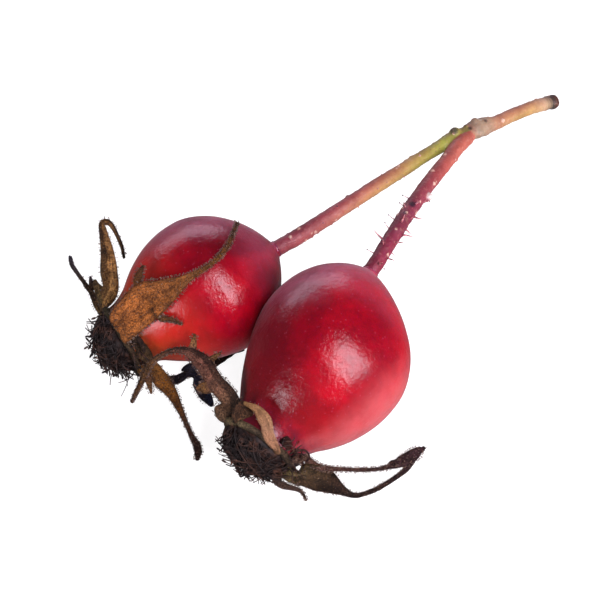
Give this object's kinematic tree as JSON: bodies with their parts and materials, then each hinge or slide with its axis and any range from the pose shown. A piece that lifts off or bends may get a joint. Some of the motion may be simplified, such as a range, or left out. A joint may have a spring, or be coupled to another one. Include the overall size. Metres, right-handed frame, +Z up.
{
  "type": "rose hip sprig",
  "caption": "Ripe oval rose hips joined by a forked bristly stem, lying on their sides, each with a withered calyx and a tuft of dried stamens.",
  "frame": {"origin": "on the surface, in the flat spot where the front hip rests", "axes": "+Z up from the surface that the sprig lies on; +X and +Y along that surface, with the stem's cut end towards +X +Y"},
  "size_m": [0.0477, 0.0446, 0.015],
  "materials": {
    "hip_skin": "waxy, thin-skinned, crimson",
    "stem_bark": "satin, bristly, red-brown and green",
    "dry_sepal": "matte, dry, fuzzy brown",
    "dry_stamens": "matte, dry, near black"
  },
  "bodies": {
    "root": {"hip_front": "hip_skin", "hip_rear": "hip_skin", "stem": "stem_bark", "sepal_front_1": "dry_sepal", "sepal_front_2": "dry_sepal", "sepal_front_3": "dry_sepal", "sepal_front_4": "dry_sepal", "sepal_front_5": "dry_sepal", "sepal_rear_1": "dry_sepal", "sepal_rear_2": "dry_sepal", "sepal_rear_3": "dry_sepal", "sepal_rear_4": "dry_sepal", "sepal_rear_5": "dry_sepal", "tuft_front": "dry_stamens", "tuft_rear": "dry_stamens"}
  },
  "joints": []
}
